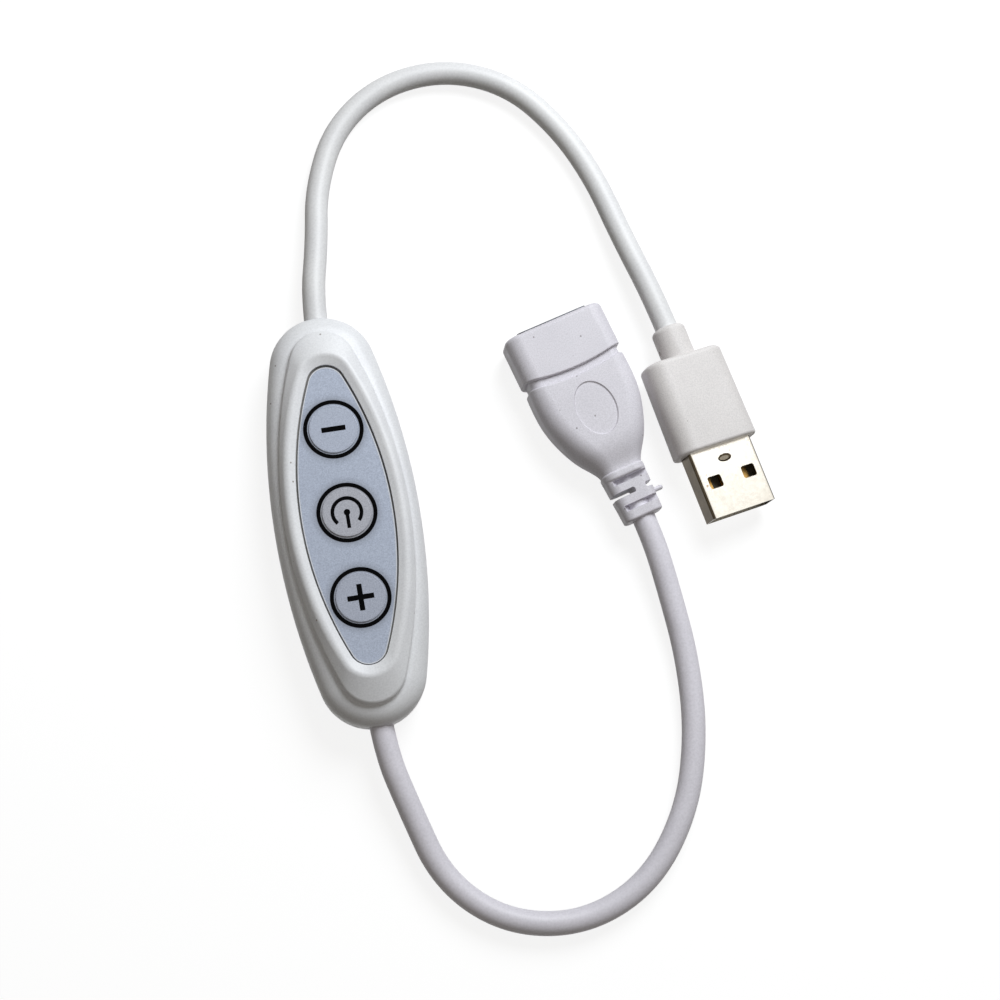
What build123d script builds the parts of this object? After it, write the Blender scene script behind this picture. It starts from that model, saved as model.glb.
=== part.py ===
"""USB inline dimmer switch: a three-key dimmer housing between a plug lead and a socket lead.

Millimetres. The origin is at the bottom centre of the housing, +Y runs along the housing
towards the minus key and the plug lead, +Z points up out of the key panel.
"""
import math
import os

from build123d import *

os.makedirs("parts", exist_ok=True)

# Housing plan: each outline is an oval of two tip arcs joined by two long side arcs
HOUSING_LENGTH = 70.2
HOUSING_WIDTH = 24.5
HOUSING_TIP_RADIUS = 9.0
SKIRT_END = 3.45
SKIRT_SIDE = 1.9
RIM_TIP_RADIUS = 5.5
SLOPE_END = 4.45
SLOPE_SIDE = 0.85
CREST_TIP_RADIUS = 4.6
BEVEL_END = 2.1
BEVEL_SIDE = 2.0
FILM_TIP_RADIUS = 3.0
FILM_GAP = 0.3
FILM_SHIFT = -0.12

# Housing heights: the first two stand on the surface it lies on, the rest step up or down from them
HOUSING_HEIGHT = 12.2
PARTING_HEIGHT = 5.0
WALL_RISE = 1.2
SLOPE_RISE = 1.6
STEP_RISE = 1.1
BEVEL_DROP = 0.65
FILM_DROP = 1.2
FILM_THICKNESS = 0.3

# Housing walls and edges
WALL = 1.5
FLOOR = 1.4
PANEL = 1.2
LIP_HEIGHT = 1.0
LIP_CLEARANCE = 0.1
SEAM_CHAMFER = 0.2
BASE_FILLET = 2.0
FOOT_FILLET = 0.45
SHOULDER_FILLET = 0.7
CREST_FILLET = 1.1
SADDLE_SETBACK = 4.9
SADDLE_THICKNESS = 1.2
SADDLE_WIDTH = 8.0

# Keys
KEY_MARGIN = 10.85
KEY_RADIUS = 4.5
KEY_CLEARANCE = 0.25
KEY_PLATEAU_RADIUS = 4.1
KEY_EMBOSS = 0.25
KEY_EMBOSS_FILLET = 0.15

# Tactile switches under the keys
SWITCH_SIZE = 6.0
SWITCH_HEIGHT = 4.3
SWITCH_BODY_HEIGHT = 3.3
SWITCH_COVER = 0.2
SWITCH_WELL_RADIUS = 2.4
SWITCH_WELL_DEPTH = 1.6
PLUNGER_RADIUS = 1.7
PLUNGER_FLANGE_RADIUS = 2.15
PLUNGER_FLANGE = 0.7
PLUNGER_CLEARANCE = 0.15
PLUNGER_NUB_RADIUS = 0.7
SWITCH_PLAY = 0.1
DOME_RADIUS = 2.2
DOME_RISE = 0.45
DOME_THICKNESS = 0.1
LEG_WIDTH = 0.7
LEG_THICKNESS = 0.25
LEG_REACH = 1.1
LEG_PITCH = 4.5

# Circuit board
BOARD_SETBACK = 11.6
BOARD_CLEARANCE = 0.85
BOARD_TIP_RADIUS = 4.5
BOARD_THICKNESS = 1.2
POST_INSET = 2.6
POST_RADIUS = 1.6
PIN_RADIUS = 0.75
PIN_CLEARANCE = 0.1
PIN_STAND = 0.4
CHIP_LENGTH = 4.9
CHIP_WIDTH = 3.9
CHIP_HEIGHT = 1.5
CHIP_LIFT = 0.1
LEAD_PITCH = 1.27
LEAD_WIDTH = 0.4
LEAD_REACH = 1.05
PART_GAP = 0.3
TRANSISTOR_LENGTH = 2.9
TRANSISTOR_WIDTH = 1.6
TRANSISTOR_HEIGHT = 1.1
TRANSISTOR_LEAD_PITCH = 0.95
CAPACITOR_SIZE = (0.8, 1.6, 0.8)
RESISTOR_SIZE = (0.8, 1.6, 0.45)
RESISTOR_PITCH = 1.6

# Leads
CABLE_DIAMETER = 4.0
CABLE_CLEARANCE = 0.1
JACKET_SETBACK = 1.7
WIRE_DIAMETER = 1.2
WIRE_SPACING = 1.8
PAD_X = 2.0
PAD_SETBACK = 2.9
WIRE_BEND = 1.0

# Plug: standard type A sizes for the metal shell
PLUG_SHELL_WIDTH = 12.0
PLUG_SHELL_HEIGHT = 4.5
PLUG_SHELL_EXPOSED = 11.85
PLUG_SHELL_BURIED = 6.9
SHELL_SHEET = 0.3
SHELL_CORNER = 0.6
WINDOW_X = 3.25
WINDOW_Y = 5.86
WINDOW_WIDTH = 2.5
WINDOW_LENGTH = 2.2
WINDOW_CORNER = 0.4
DIMPLE_Y = 2.35
DIMPLE_WIDTH = 2.5
DIMPLE_LENGTH = 1.4
DIMPLE_DEPTH = 0.25
DIMPLE_SLOPE = 0.35
PLUG_BODY_LENGTH = 17.0
PLUG_BODY_WIDTH = 15.1
PLUG_BODY_HEIGHT = 7.8
PLUG_BODY_TAPER = 0.4
PLUG_EDGE_RADIUS = 3.0
PLUG_FRONT_FILLET = 0.5
PLUG_REAR_FILLET = 0.9
PLUG_COLLAR_LENGTH = 5.8
PLUG_COLLAR_DIAMETER = 6.0
PLUG_COLLAR_FILLET = 0.9
NICK_RADIUS = 0.4
NICK_DISTANCE = 1.8
PLUG_CABLE_SEAT = 4.8
PLUG_TONGUE = 1.85
PLUG_TONGUE_SETBACK = 0.55
PLUG_BLOCK_FRONT = 0.4
CONTACT_WIDTH = 1.0
CONTACT_THICKNESS = 0.25
CONTACT_CLEARANCE = 0.05
CONTACT_OUTER_X = 3.5
CONTACT_INNER_X = 1.0
CONTACT_OUTER_SETBACK = 1.0
CONTACT_INNER_SETBACK = 2.0
PLUG_PLACE = (64.5, 2.5)
PLUG_HEADING = -79.5
PLUG_ROLL = -8.1

# Socket: standard type A sizes for the metal shell
SOCKET_SHELL_WIDTH = 13.1
SOCKET_SHELL_HEIGHT = 5.72
SOCKET_SHELL_LENGTH = 14.0
SOCKET_SHELL_PROUD = 0.35
SOCKET_TONGUE = 1.84
SOCKET_TONGUE_WIDTH = 11.1
SOCKET_TONGUE_SETBACK = 1.4
SOCKET_TONGUE_LIFT = 0.05
SOCKET_BLOCK_LENGTH = 4.5
SOCKET_LENGTH = 37.2
SOCKET_WIDTH = 18.4
SOCKET_HEIGHT = 8.5
GRIP_HEIGHT = 8.4
SOCKET_EDGE_RADIUS = 2.6
SOCKET_FRONT_FILLET = 0.8
GROOVE_START = 26.5
GROOVE_WIDTH = 1.45
GROOVE_DEPTH = 0.75
GROOVE_ARC_RADIUS = 38.0
GROOVE_FILLET = 0.25
NECK_START = 7.5
NECK_WIDTH = 7.8
NECK_HEIGHT = 6.1
NECK_LENGTH = 1.5
NECK_CORNER = 2.3
NECK_FILLET = 0.45
FLARE_WIDTH = 7.5
FLARE_HEIGHT = 5.6
FLARE_ROUNDING = 0.46

# Grip sections: shares of the way to the groove and of the swell in width and height, edge radius per height
GRIP_STATIONS = [
    (0.06, 0.11, 0.12, 0.47),
    (0.14, 0.29, 0.53, 0.48),
    (0.24, 0.50, 0.90, 0.47),
    (0.34, 0.65, 1.00, 0.44),
    (0.49, 0.82, 1.00, 0.40),
    (0.64, 0.935, 1.00, 0.37),
    (0.79, 0.985, 1.00, 0.35),
    (0.94, 0.985, 1.00, 0.33),
    (1.09, 0.95, 1.00, 0.31),
]

# Strain relief, nub and thumb mark of the socket
RELIEF_WIDTH = 7.7
RELIEF_END_WIDTH = 6.9
RELIEF_HEIGHT = 5.2
RELIEF_CORNER = 1.7
RELIEF_END_FILLET = 0.4
RELIEF_CORE_RADIUS = 1.45
RELIEF_SLOT_REACH = 2.9
RELIEF_SLOT_RAMP = 1.0
RELIEF_SLOT_FLOOR = 1.0
RELIEF_END_SLOT = (1.75, 2.8)
RELIEF_SIDE_SLOT = (4.3, 5.25)
RELIEF_NECK_SLOT = (6.55, 7.5)
RELIEF_SPINE = (0.3, 2.25)
RELIEF_SLOT_CORNER = 0.35
SOCKET_CABLE_SEAT = 3.4
NUB_DIAMETER = 0.85
NUB_SETBACK = 0.75
NUB_REACH = 5.4
THUMB_Y = 20.0
THUMB_WIDTH = 7.15
THUMB_LENGTH = 9.8
THUMB_DEPTH = 0.25
THUMB_SLOPE = 0.2
SOCKET_PLACE = (49.9, -7.4)
SOCKET_HEADING = 105.2

# Leads' free routes, from outside the housing to the connector
INPUT_ROUTE = [
    (2.5, 49.5, 3.6),
    (4.0, 60.0, 2.3),
    (9.0, 71.0, 2.1),
    (18.5, 78.0, 2.1),
    (30.5, 79.5, 2.1),
    (41.5, 75.0, 2.1),
    (49.0, 65.5, 2.1),
    (53.5, 55.0, 2.2),
    (56.0, 43.0, 3.4),
]
OUTPUT_ROUTE = [
    (2.5, -48.5, 3.6),
    (6.0, -61.0, 2.3),
    (15.0, -69.5, 2.1),
    (27.5, -72.0, 2.1),
    (39.5, -67.5, 2.1),
    (48.0, -57.0, 2.1),
    (52.0, -44.5, 2.1),
    (53.0, -32.0, 2.2),
    (52.0, -20.5, 3.2),
]
EXIT_RUN = 3.4
PLUG_RUN = 10.0
SOCKET_RUN = 6.5
ARC_SHARE = 0.45

# Values that follow from the sizes above
RIM_LENGTH = HOUSING_LENGTH - 2 * SKIRT_END
RIM_WIDTH = HOUSING_WIDTH - 2 * SKIRT_SIDE
CREST_LENGTH = RIM_LENGTH - 2 * SLOPE_END
CREST_WIDTH = RIM_WIDTH - 2 * SLOPE_SIDE
FILM_LENGTH = CREST_LENGTH - 2 * BEVEL_END
FILM_WIDTH = CREST_WIDTH - 2 * BEVEL_SIDE
SKIRT_START = PARTING_HEIGHT + WALL_RISE
RIM_SHOULDER = HOUSING_HEIGHT - SLOPE_RISE
SKIRT_TOP = RIM_SHOULDER - STEP_RISE
RECESS_EDGE = HOUSING_HEIGHT - BEVEL_DROP
FILM_SEAT = HOUSING_HEIGHT - FILM_DROP
KEY_PITCH = FILM_LENGTH / 2 - KEY_MARGIN
SADDLE_DISTANCE = HOUSING_LENGTH / 2 - SADDLE_SETBACK
JACKET_END = SADDLE_DISTANCE - JACKET_SETBACK
BOARD_LENGTH = HOUSING_LENGTH - 2 * BOARD_SETBACK
BOARD_WIDTH = RIM_WIDTH - 2 * (WALL + BOARD_CLEARANCE)
POST_X = BOARD_WIDTH / 2 - POST_INSET
POST_Y = KEY_PITCH / 2
PAD_Y = BOARD_LENGTH / 2 - PAD_SETBACK
BOARD_TOP = FILM_SEAT - SWITCH_HEIGHT
BOARD_BOTTOM = BOARD_TOP - BOARD_THICKNESS
FILM_TOP = FILM_SEAT + FILM_THICKNESS
KEY_HOLE_RADIUS = KEY_RADIUS + KEY_CLEARANCE
CABLE_HOLE_RADIUS = CABLE_DIAMETER / 2 + CABLE_CLEARANCE
KEY_CENTRES = {"minus": KEY_PITCH, "power": 0.0, "plus": -KEY_PITCH}
CONTACT_PLACES = {
    "supply": (CONTACT_OUTER_X, CONTACT_OUTER_SETBACK),
    "data_minus": (CONTACT_INNER_X, CONTACT_INNER_SETBACK),
    "data_plus": (-CONTACT_INNER_X, CONTACT_INNER_SETBACK),
    "ground": (-CONTACT_OUTER_X, CONTACT_OUTER_SETBACK),
}


def oval(length, width, tip_radius):
    """Face of an oval centred on the origin: tip arcs joined tangentially by side arcs."""
    tip_centre = length / 2 - tip_radius
    side_radius = (width**2 / 4 + tip_centre**2 - tip_radius**2) / (width - 2 * tip_radius)
    lean = math.atan2(tip_centre, side_radius - width / 2)
    join_x = tip_radius * math.cos(lean)
    join_y = tip_centre + tip_radius * math.sin(lean)
    arcs = [
        ThreePointArc((join_x, -join_y), (width / 2, 0), (join_x, join_y)),
        ThreePointArc((join_x, join_y), (0, length / 2), (-join_x, join_y)),
        ThreePointArc((-join_x, join_y), (-width / 2, 0), (-join_x, -join_y)),
        ThreePointArc((-join_x, -join_y), (0, -length / 2), (join_x, -join_y)),
    ]
    return make_face(arcs)


def housing_oval(inset=0.0):
    return oval(HOUSING_LENGTH - 2 * inset, HOUSING_WIDTH - 2 * inset, HOUSING_TIP_RADIUS - inset)


def rim_oval(inset=0.0):
    return oval(RIM_LENGTH - 2 * inset, RIM_WIDTH - 2 * inset, RIM_TIP_RADIUS - inset)


def crest_oval():
    return oval(CREST_LENGTH, CREST_WIDTH, CREST_TIP_RADIUS)


def film_oval(outset=0.0):
    return oval(FILM_LENGTH + 2 * outset, FILM_WIDTH + 2 * outset, FILM_TIP_RADIUS + outset)


def prism(face, low, high):
    """Upright solid on a face of the XY plane, from one height to another."""
    return extrude(Pos(0, 0, low) * face, high - low)


def edges_at(solid, height):
    """Edges that lie level at one height."""
    near = 0.01
    return [e for e in solid.edges() if max(abs(v.Z - height) for v in (e @ 0, e @ 0.5, e @ 1)) < near]


def across(y):
    """Plane that faces +Y at a place along the Y axis, with Z upwards in it."""
    return Plane((0, y, 0), x_dir=(-1, 0, 0), z_dir=(0, 1, 0))


def bar(width, height, corner, start, end):
    """Bar along Y with a rounded rectangular section."""
    return extrude(across(start) * RectangleRounded(width, height, corner), end - start)


def rod(radius, start, end):
    """Round bar along Y, with the seam of its surface on top."""
    return extrude(across(start) * Rot(0, 0, 90) * Circle(radius), end - start)


def block(size, low_centre):
    """Box that stands on the centre of its lower face."""
    width, length, height = size
    x, y, z = low_centre
    return Pos(x, y, z + height / 2) * Box(width, length, height)


def cable_holes():
    """Round passages for the two leads through the ends of the housing and the saddles inside."""
    inner_end = SADDLE_DISTANCE - SADDLE_THICKNESS
    outer_end = HOUSING_LENGTH / 2 + CABLE_DIAMETER
    passage = Pos(0, 0, PARTING_HEIGHT) * rod(CABLE_HOLE_RADIUS, inner_end, outer_end)
    return passage + Rot(0, 0, 180) * passage


def skirt():
    """Outer skirt that rounds in from the side wall to the foot of the rim."""
    section_angles = [0, 30, 60, 90]
    sections = []
    for angle in section_angles:
        out = math.cos(math.radians(angle))
        up = math.sin(math.radians(angle))
        length = RIM_LENGTH + (HOUSING_LENGTH - RIM_LENGTH) * out
        width = RIM_WIDTH + (HOUSING_WIDTH - RIM_WIDTH) * out
        tip = RIM_TIP_RADIUS + (HOUSING_TIP_RADIUS - RIM_TIP_RADIUS) * out
        height = SKIRT_START + (SKIRT_TOP - SKIRT_START) * up
        sections.append(Pos(0, 0, height) * oval(length, width, tip))
    return prism(housing_oval(), PARTING_HEIGHT, SKIRT_START) + loft(sections)


def rim():
    """Raised rim: an upright step, then a slope that rises to the crest."""
    step = prism(rim_oval(), SKIRT_TOP, RIM_SHOULDER)
    slope = loft([Pos(0, 0, RIM_SHOULDER) * rim_oval(), Pos(0, 0, HOUSING_HEIGHT) * crest_oval()], ruled=True)
    return step + slope


def top_cover():
    body = skirt() + rim()
    body = fillet(edges_at(body, SKIRT_TOP), FOOT_FILLET)
    body = fillet(edges_at(body, RIM_SHOULDER), SHOULDER_FILLET)
    bevel = [Pos(0, 0, RECESS_EDGE) * film_oval(FILM_GAP), Pos(0, 0, HOUSING_HEIGHT) * crest_oval()]
    body -= loft(bevel, ruled=True)
    body -= prism(film_oval(FILM_GAP), FILM_SEAT, HOUSING_HEIGHT)
    body = fillet(edges_at(body, HOUSING_HEIGHT), CREST_FILLET)
    body = chamfer(edges_at(body, PARTING_HEIGHT), SEAM_CHAMFER)
    body -= prism(housing_oval(WALL), PARTING_HEIGHT, SKIRT_START)
    body -= prism(rim_oval(WALL), PARTING_HEIGHT, FILM_SEAT - PANEL)
    body -= prism(housing_oval(WALL / 2), PARTING_HEIGHT, PARTING_HEIGHT + LIP_HEIGHT + LIP_CLEARANCE)
    for y in KEY_CENTRES.values():
        body -= prism(Pos(0, y) * Circle(KEY_HOLE_RADIUS), FILM_SEAT - PANEL, FILM_SEAT)
    for side in (1, -1):
        rib_size = (SADDLE_WIDTH, SADDLE_THICKNESS, SKIRT_START - PARTING_HEIGHT)
        body += block(rib_size, (0, side * SADDLE_DISTANCE, PARTING_HEIGHT))
    return body - cable_holes()


def bottom_cover():
    body = prism(housing_oval(), 0, PARTING_HEIGHT)
    body = fillet(edges_at(body, 0), BASE_FILLET)
    body = chamfer(edges_at(body, PARTING_HEIGHT), SEAM_CHAMFER)
    lip = prism(housing_oval(WALL / 2 + LIP_CLEARANCE), PARTING_HEIGHT, PARTING_HEIGHT + LIP_HEIGHT)
    body += lip
    body -= prism(housing_oval(WALL), FLOOR, PARTING_HEIGHT + LIP_HEIGHT)
    for side in (1, -1):
        rib_size = (SADDLE_WIDTH, SADDLE_THICKNESS, PARTING_HEIGHT - FLOOR)
        body += block(rib_size, (0, side * SADDLE_DISTANCE, FLOOR))
    for x, y in post_places():
        body += prism(Pos(x, y) * Circle(POST_RADIUS), FLOOR, BOARD_BOTTOM)
        body += prism(Pos(x, y) * Circle(PIN_RADIUS), BOARD_BOTTOM, BOARD_TOP + PIN_STAND)
    return body - cable_holes()


def post_places():
    return [(x, y) for x in (POST_X, -POST_X) for y in (POST_Y, -POST_Y)]


def overlay_film():
    sheet = prism(Pos(0, FILM_SHIFT) * film_oval(), FILM_SEAT, FILM_TOP)
    for y in KEY_CENTRES.values():
        sheet -= prism(Pos(0, y) * Circle(KEY_HOLE_RADIUS), FILM_SEAT, FILM_TOP)
    return sheet


def key(y):
    """Round key with a raised plateau, seated on its switch's plunger."""
    disc = prism(Circle(KEY_RADIUS), FILM_SEAT, FILM_TOP)
    plateau = prism(Circle(KEY_PLATEAU_RADIUS), FILM_TOP, FILM_TOP + KEY_EMBOSS)
    plateau = fillet(edges_at(plateau, FILM_TOP + KEY_EMBOSS), KEY_EMBOSS_FILLET)
    return Pos(0, y) * (disc + plateau)


def switch_base(y):
    body_top = BOARD_TOP + SWITCH_BODY_HEIGHT
    body = block((SWITCH_SIZE, SWITCH_SIZE, SWITCH_BODY_HEIGHT), (0, 0, BOARD_TOP))
    body -= prism(Circle(SWITCH_WELL_RADIUS), body_top - SWITCH_WELL_DEPTH, body_top)
    return Pos(0, y) * body


def switch_cover(y):
    """Pressed steel plate that keeps the plunger in its well."""
    body_top = BOARD_TOP + SWITCH_BODY_HEIGHT
    plate = block((SWITCH_SIZE, SWITCH_SIZE, SWITCH_COVER), (0, 0, body_top))
    plate -= prism(Circle(PLUNGER_RADIUS + PLUNGER_CLEARANCE), body_top, body_top + SWITCH_COVER)
    return Pos(0, y) * plate


def switch_plunger(y):
    flange_top = BOARD_TOP + SWITCH_BODY_HEIGHT - SWITCH_PLAY
    flange_bottom = flange_top - PLUNGER_FLANGE
    well_floor = BOARD_TOP + SWITCH_BODY_HEIGHT - SWITCH_WELL_DEPTH
    nub_bottom = well_floor + DOME_RISE + SWITCH_PLAY
    shape = prism(Circle(PLUNGER_RADIUS), flange_top, FILM_SEAT)
    shape += prism(Circle(PLUNGER_FLANGE_RADIUS), flange_bottom, flange_top)
    shape += prism(Circle(PLUNGER_NUB_RADIUS), nub_bottom, flange_bottom)
    return Pos(0, y) * shape


def switch_dome(y):
    """Shallow snap dome on the floor of the switch's well."""
    well_floor = BOARD_TOP + SWITCH_BODY_HEIGHT - SWITCH_WELL_DEPTH
    outer_radius = (DOME_RADIUS**2 + DOME_RISE**2) / (2 * DOME_RISE)
    centre = well_floor + DOME_RISE - outer_radius
    shell = Pos(0, 0, centre) * (Sphere(outer_radius) - Sphere(outer_radius - DOME_THICKNESS))
    above = prism(Circle(DOME_RADIUS), well_floor, well_floor + DOME_RISE)
    return Pos(0, y) * (shell & above)


def bent_leg(root, reach, drop, width):
    """Flat lead that leaves a body along +X, bends down and ends in a foot on the board."""
    t = LEG_THICKNESS
    half = reach / 2
    outline = Polyline((0, 0), (half, 0), (half, -drop), (reach, -drop), (reach, t - drop),
                       (half + t, t - drop), (half + t, t), (0, t), close=True)
    profile = Plane.XZ * make_face(outline)
    x, y, z = root
    return Pos(x, y + width / 2, z) * extrude(profile, width)


def switch_terminals(y):
    rise = LEG_THICKNESS * 2
    leg = bent_leg((SWITCH_SIZE / 2, 0, BOARD_TOP + rise), LEG_REACH, rise, LEG_WIDTH)
    legs = []
    for turn in (0, 180):
        for shift in (LEG_PITCH / 2, -LEG_PITCH / 2):
            legs.append(Pos(0, y + shift) * Rot(0, 0, turn) * leg)
    return Compound(children=legs)


def circuit_board():
    board = prism(oval(BOARD_LENGTH, BOARD_WIDTH, BOARD_TIP_RADIUS), BOARD_BOTTOM, BOARD_TOP)
    for x, y in post_places():
        board -= prism(Pos(x, y) * Circle(PIN_RADIUS + PIN_CLEARANCE), BOARD_BOTTOM, BOARD_TOP)
    return board


def controller_chip():
    size = (CHIP_WIDTH, CHIP_LENGTH, CHIP_HEIGHT - CHIP_LIFT)
    return block(size, (0, KEY_PITCH / 2, BOARD_TOP + CHIP_LIFT))


def controller_leads():
    rise = CHIP_HEIGHT / 2 - LEG_THICKNESS
    lead = bent_leg((CHIP_WIDTH / 2, 0, BOARD_TOP + rise), LEAD_REACH, rise, LEAD_WIDTH)
    leads = []
    for turn in (0, 180):
        for place in (-1.5, -0.5, 0.5, 1.5):
            leads.append(Pos(0, KEY_PITCH / 2 + place * LEAD_PITCH) * Rot(0, 0, turn) * lead)
    return Compound(children=leads)


def power_transistor():
    size = (TRANSISTOR_WIDTH, TRANSISTOR_LENGTH, TRANSISTOR_HEIGHT - CHIP_LIFT)
    return block(size, (0, -KEY_PITCH / 2, BOARD_TOP + CHIP_LIFT))


def transistor_leads():
    rise = TRANSISTOR_HEIGHT / 2 - LEG_THICKNESS
    lead = bent_leg((TRANSISTOR_WIDTH / 2, 0, BOARD_TOP + rise), LEAD_REACH, rise, LEAD_WIDTH)
    centre = Pos(0, -KEY_PITCH / 2)
    leads = [centre * lead]
    for side in (1, -1):
        leads.append(centre * Pos(0, side * TRANSISTOR_LEAD_PITCH) * Rot(0, 0, 180) * lead)
    return Compound(children=leads)


def bypass_capacitor():
    x = POST_X - PIN_RADIUS - PART_GAP - CAPACITOR_SIZE[0] / 2
    return block(CAPACITOR_SIZE, (-x, -KEY_PITCH / 2, BOARD_TOP))


def chip_resistors():
    x = POST_X - PIN_RADIUS - PART_GAP - RESISTOR_SIZE[0] / 2
    bodies = []
    for step in (-1, 1):
        bodies.append(block(RESISTOR_SIZE, (x, -KEY_PITCH / 2 + step * RESISTOR_PITCH, BOARD_TOP)))
    return Compound(children=bodies)


def corner_radii(points):
    """Largest arc radius that each corner of a route leaves room for."""
    radii = []
    for before, corner, after in zip(points, points[1:], points[2:]):
        run_in = Vector(*corner) - Vector(*before)
        run_out = Vector(*after) - Vector(*corner)
        half_turn = math.radians(run_in.get_angle(run_out)) / 2
        radii.append(ARC_SHARE * min(run_in.length, run_out.length) / math.tan(half_turn))
    return radii


def tube(points, radii, diameter):
    """Round solid along straight runs joined by tangent arcs."""
    path = FilletPolyline(*points, radius=radii)
    section = Plane(path @ 0, z_dir=path % 0) * Circle(diameter / 2)
    return sweep(section, path=path), path.length


def cable(points, name):
    radii = corner_radii(points)
    solid, length = tube(points, radii, CABLE_DIAMETER)
    section_area = math.pi * CABLE_DIAMETER**2 / 4
    print(name, "length", round(length, 1), "radii", [round(r, 1) for r in radii])
    print(name, "volume", round(solid.volume, 1), "section x length", round(section_area * length, 1))
    return solid


def wire(lead_side, x_side):
    """Insulated core from the end of a lead's jacket to its pad on the board."""
    rise = BOARD_TOP + WIRE_DIAMETER / 2
    start_x = x_side * WIRE_SPACING / 2
    pad_x = x_side * PAD_X
    points = [
        (start_x, lead_side * JACKET_END, PARTING_HEIGHT),
        (start_x, lead_side * (JACKET_END - WIRE_DIAMETER), PARTING_HEIGHT),
        (pad_x, lead_side * (BOARD_LENGTH / 2 + WIRE_DIAMETER), rise),
        (pad_x, lead_side * PAD_Y, rise),
    ]
    solid, _ = tube(points, [WIRE_BEND, WIRE_BEND], WIRE_DIAMETER)
    return solid


def plug_frame():
    """Place of the plug: its own +Y is the way the metal tip points."""
    roll = math.radians(abs(PLUG_ROLL))
    half_width = PLUG_BODY_WIDTH / 2 - PLUG_EDGE_RADIUS
    half_height = PLUG_BODY_HEIGHT / 2 - PLUG_EDGE_RADIUS
    height = half_width * math.sin(roll) + half_height * math.cos(roll) + PLUG_EDGE_RADIUS
    x, y = PLUG_PLACE
    return Pos(x, y, height) * Rot(0, 0, PLUG_HEADING - 90) * Rot(0, PLUG_ROLL, 0)


def plug_overmould():
    rear = -PLUG_BODY_LENGTH
    narrow = (PLUG_BODY_WIDTH - PLUG_BODY_TAPER, PLUG_BODY_HEIGHT - PLUG_BODY_TAPER)
    body = loft(
        [
            across(rear) * RectangleRounded(*narrow, PLUG_EDGE_RADIUS),
            across(0) * RectangleRounded(PLUG_BODY_WIDTH, PLUG_BODY_HEIGHT, PLUG_EDGE_RADIUS),
        ],
        ruled=True,
    )
    body = fillet(body.faces().sort_by(Axis.Y)[-1].edges(), PLUG_FRONT_FILLET)
    body = fillet(body.faces().sort_by(Axis.Y)[0].edges(), PLUG_REAR_FILLET)
    collar = rod(PLUG_COLLAR_DIAMETER / 2, rear - PLUG_COLLAR_LENGTH, rear)
    collar = fillet(collar.faces().sort_by(Axis.Y)[0].edges(), PLUG_COLLAR_FILLET)
    body += collar
    body -= Pos(PLUG_COLLAR_DIAMETER / 2, rear - NICK_DISTANCE, 0) * Sphere(NICK_RADIUS)
    body -= bar(PLUG_SHELL_WIDTH, PLUG_SHELL_HEIGHT, SHELL_CORNER, -PLUG_SHELL_BURIED, 0)
    cable_end = rear - PLUG_COLLAR_LENGTH
    return body - rod(CABLE_DIAMETER / 2, cable_end, cable_end + PLUG_CABLE_SEAT)


def hollow_shell(width, height, start, end):
    """Folded metal shell, open at both ends."""
    outer = bar(width, height, SHELL_CORNER, start, end)
    inner_corner = SHELL_CORNER - SHELL_SHEET
    return outer - bar(width - 2 * SHELL_SHEET, height - 2 * SHELL_SHEET, inner_corner, start, end)


def plug_shell():
    shell = hollow_shell(PLUG_SHELL_WIDTH, PLUG_SHELL_HEIGHT, -PLUG_SHELL_BURIED, PLUG_SHELL_EXPOSED)
    window = RectangleRounded(WINDOW_WIDTH, WINDOW_LENGTH, WINDOW_CORNER)
    for side in (1, -1):
        shell -= prism(Pos(side * WINDOW_X, WINDOW_Y) * window, -PLUG_SHELL_HEIGHT, PLUG_SHELL_HEIGHT)
    top = PLUG_SHELL_HEIGHT / 2
    mouth = Pos(0, DIMPLE_Y) * Ellipse(DIMPLE_WIDTH / 2, DIMPLE_LENGTH / 2)
    floor = Pos(0, DIMPLE_Y) * Ellipse(DIMPLE_WIDTH / 2 - DIMPLE_SLOPE, DIMPLE_LENGTH / 2 - DIMPLE_SLOPE)
    shell += prism(mouth, top - SHELL_SHEET - DIMPLE_DEPTH, top - SHELL_SHEET)
    return shell - loft([Pos(0, 0, top - DIMPLE_DEPTH) * floor, Pos(0, 0, top) * mouth])


def plug_insulator():
    """Tongue in the lower half of the shell, with a block behind it that fills the shell."""
    width = PLUG_SHELL_WIDTH - 2 * SHELL_SHEET
    floor = SHELL_SHEET - PLUG_SHELL_HEIGHT / 2
    front = PLUG_SHELL_EXPOSED - PLUG_TONGUE_SETBACK
    length = front + PLUG_SHELL_BURIED
    tongue = block((width, length, PLUG_TONGUE), (0, front - length / 2, floor))
    block_length = PLUG_SHELL_BURIED + PLUG_BLOCK_FRONT
    height = PLUG_SHELL_HEIGHT - 2 * SHELL_SHEET
    tongue += block((width, block_length, height), (0, PLUG_BLOCK_FRONT - block_length / 2, floor))
    inner_corner = SHELL_CORNER - SHELL_SHEET
    tongue &= bar(width, height, inner_corner, -PLUG_SHELL_BURIED, front)
    for x, setback in CONTACT_PLACES.values():
        tongue -= plug_contact_strip(x, setback, CONTACT_CLEARANCE)
    return tongue


def plug_contact_strip(x, setback, clearance=0.0):
    """Contact strip in the face of the tongue, or the groove that it lies in."""
    floor = SHELL_SHEET - PLUG_SHELL_HEIGHT / 2
    top = floor + PLUG_TONGUE
    front = PLUG_SHELL_EXPOSED - PLUG_TONGUE_SETBACK - setback + clearance
    length = front + PLUG_SHELL_BURIED
    size = (CONTACT_WIDTH + 2 * clearance, length, CONTACT_THICKNESS)
    return block(size, (x, front - length / 2, top - CONTACT_THICKNESS))


def socket_frame():
    """Place of the socket: its own +Y is the way the mouth points, from the end of the relief."""
    x, y = SOCKET_PLACE
    return Pos(x, y, SOCKET_HEIGHT / 2) * Rot(0, 0, SOCKET_HEADING - 90)


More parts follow.
